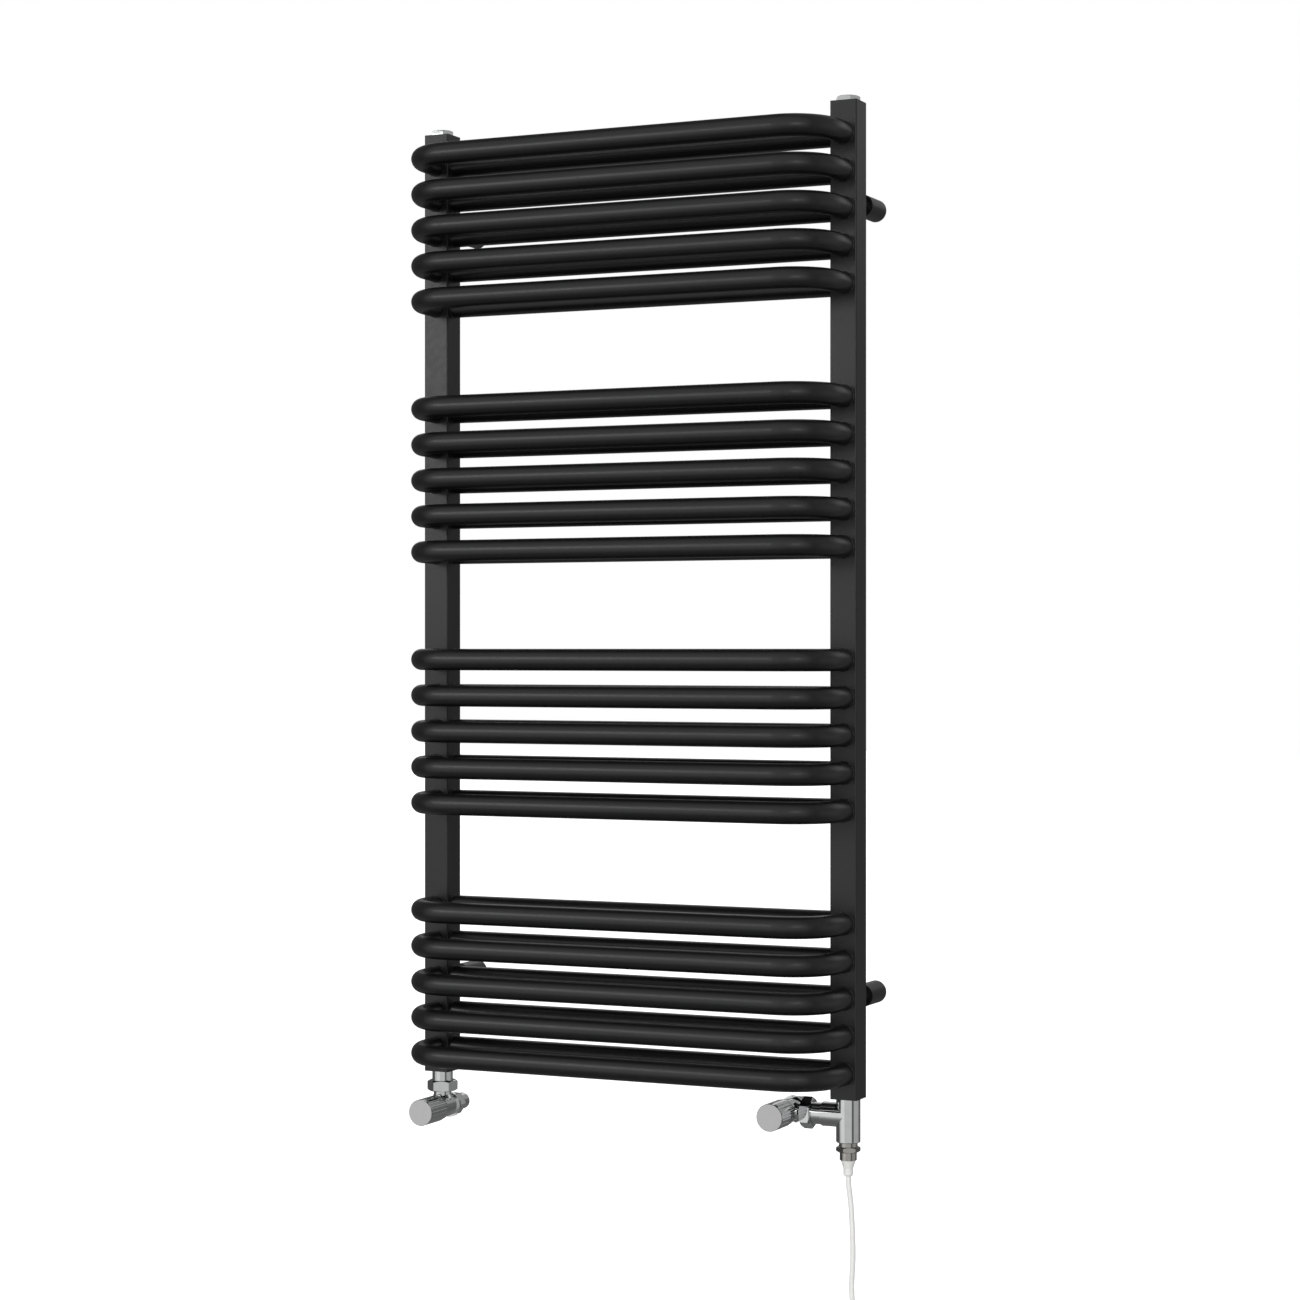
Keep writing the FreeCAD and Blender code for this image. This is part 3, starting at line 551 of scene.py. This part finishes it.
def machined_brass(material, shader):
    """Free-cutting brass as it comes off the lathe: warm, bright, with fine tool marks."""
    noise = mottle(material, shader, 1.2, "b58f45", "cfa95c", 0.2, 0.34)
    relief(material, shader, noise.outputs["Fac"], 0.02)


def nitrile(material, shader):
    """Moulded nitrile rubber: matt black with a grey bloom."""
    noise = mottle(material, shader, 1.0, "151515", "222222", 0.65, 0.8)
    relief(material, shader, noise.outputs["Fac"], 0.02)


brass = finish_named("machined_brass", machined_brass, Metallic=1.0)
rubber = finish_named("black_nitrile_rubber", nitrile, IOR=1.52)
paint(brass, "olives", "valve_glands", *[side + part for side in ("left", "right")
                                         for part in ("_tailpiece", "_spindle", "_valve_plug")])
paint(rubber, "cap_seals", "gland_orings", "left_seat_washer", "right_seat_washer")


# ---------------------------------------------------------------- studio
# A white sweep under and behind the radiator. What the metal mirrors is darker than that: a soft
# grey room, light in front and dim behind and below, with three softboxes in front, two behind and
# a wide diffuser that lights the matt pieces but shows in no reflection.

def white_sweep(material, shader):
    """Matt white paper, very slightly uneven."""
    place = add_node(material, "TexCoord")
    noise = add_node(material, "TexNoise", {"Vector": place.outputs["Object"], "Scale": 2.0})
    shade = add_node(material, "ValToRGB", {"Fac": noise.outputs["Fac"]})
    shade.color_ramp.elements[0].color = tint("f2f2f2")
    shade.color_ramp.elements[1].color = tint("f6f6f6")
    feed(material, shade.outputs["Color"], shader, "Base Color")


sweep_drop = 0.4             # metres from the object's lowest point to the floor
floor_level = cad_box[0][2] - sweep_drop
bpy.ops.mesh.primitive_plane_add(size=60, location=(0, 0, floor_level))
floor = bpy.context.object
floor.name = "studio_floor"
floor.data.materials.append(finish_named("pale_floor", white_sweep, Roughness=0.9,
                                         Emission_Color=(1, 1, 1, 1), Emission_Strength=1.0))
floor.visible_glossy = False
floor.visible_diffuse = False

world = bpy.data.worlds.new("studio_world")
bpy.context.scene.world = world
world.use_nodes = True
backdrop = world.node_tree.nodes["Background"]
backdrop.inputs["Color"].default_value = (1, 1, 1, 1)


def grey_ramp(owner, value, stops):
    """A ramp through grey levels, one for each (position, level)."""
    ramp = add_node(owner, "ValToRGB", {"Fac": value})
    elements = ramp.color_ramp.elements
    while len(elements) < len(stops):
        elements.new(0.5)
    for element, (position, level) in zip(elements, stops):
        element.position = position
        element.color = (level, level, level, 1)
    return ramp.outputs["Color"]


def round_room(*stops):
    """Ramp positions for levels given by their bearing in degrees: 0 is in front, 90 to the right."""
    return [((bearing + 180) / 360, level) for bearing, level in stops]


toward = add_node(world, "SeparateXYZ", {"Vector": add_node(world, "TexCoord").outputs["Generated"]})
height = add_node(world, "MapRange", {"Value": toward.outputs["Z"], "From Min": -1.0, "From Max": 1.0})
room = grey_ramp(world, height.outputs["Result"],
                 [(0.0, 0.22), (0.15, 0.29), (0.27, 0.48), (0.345, 0.62), (0.415, 0.67), (0.5, 0.72),
                  (0.85, 0.70), (1.0, 0.40)])
forward = add_node(world, "Math", {0: toward.outputs["Y"], 1: -1.0}, operation="MULTIPLY")
bearing = add_node(world, "Math", {0: toward.outputs["X"], 1: forward.outputs["Value"]},
                   operation="ARCTAN2")
turned = add_node(world, "MapRange", {"Value": bearing.outputs["Value"], "From Min": -math.pi,
                                      "From Max": math.pi})
level_round = grey_ramp(world, turned.outputs["Result"], round_room(
    (-180, 0.2), (-104, 0.15), (-70, 0.15), (-62, 1.0), (52, 1.0), (57, 0.2), (71, 0.2), (77, 0.72),
    (123, 0.72), (138, 0.36), (152, 0.2), (180, 0.2)))
high_round = grey_ramp(world, turned.outputs["Result"], round_room(
    (-180, 0.55), (-160, 0.4), (-140, 0.15), (-70, 0.2), (-62, 1.0), (52, 1.0), (57, 0.3), (71, 0.3),
    (77, 0.6), (138, 0.4), (155, 0.5), (180, 0.55)))
above = add_node(world, "MapRange", {"Value": toward.outputs["Z"], "From Min": 0.13, "From Max": 0.28})
below = add_node(world, "MapRange", {"Value": toward.outputs["Z"], "From Min": -0.3, "From Max": -0.7})
upper_half = add_node(world, "Mix", {"Factor": above.outputs["Result"], "A": level_round, "B": high_round})
all_round = add_node(world, "Mix", {"Factor": below.outputs["Result"], "A": upper_half.outputs["Result"],
                                    "B": 0.6})
mirrored = add_node(world, "Background", {"Color": room, "Strength": all_round.outputs["Result"]})
path = add_node(world, "LightPath")
both = add_node(world, "MixShader", {0: path.outputs["Is Camera Ray"], 1: mirrored.outputs["Background"],
                                     2: backdrop.outputs["Background"]})
world.node_tree.links.new(both.outputs["Shader"], world.node_tree.nodes["World Output"].inputs["Surface"])
bpy.context.scene.view_settings.view_transform = "Standard"


def softbox(name, place, target, width, height, watts):
    """A rectangular lamp at place, turned to target. Lengths are in metres."""
    bpy.ops.object.light_add(type="AREA", location=place)
    lamp = bpy.context.object
    lamp.name = name
    lamp.data.shape = "RECTANGLE"
    lamp.data.size = width
    lamp.data.size_y = height
    lamp.data.energy = watts
    lamp.rotation_euler = (Vector(target) - Vector(place)).to_track_quat("-Z", "Y").to_euler()
    lamp.visible_camera = False
    return lamp


softbox("key_softbox", (-1.75, -2.75, 0.70), (0, -0.1, 0.1), 1.7, 0.8, 12)
softbox("low_softbox", (-0.9, -1.9, -0.6), (-0.1, -0.1, -0.45), 1.3, 1.35, 1.2)
softbox("right_softbox", (1.78, -2.95, 0.62), (0.2, -0.1, 0.1), 0.7, 0.7, 5)
softbox("rear_left_softbox", (-1.4, 2.6, 1.2), (0, -0.1, 0), 2.0, 1.5, 5)
softbox("rear_right_softbox", (2.1, 2.1, 1.5), (0, -0.1, 0), 1.7, 1.4, 4)
soft_front = softbox("front_diffuser", (1.6, -3.4, -0.4), (0.25, -0.1, -0.7), 3.0, 3.0, 60)
soft_front.visible_glossy = False
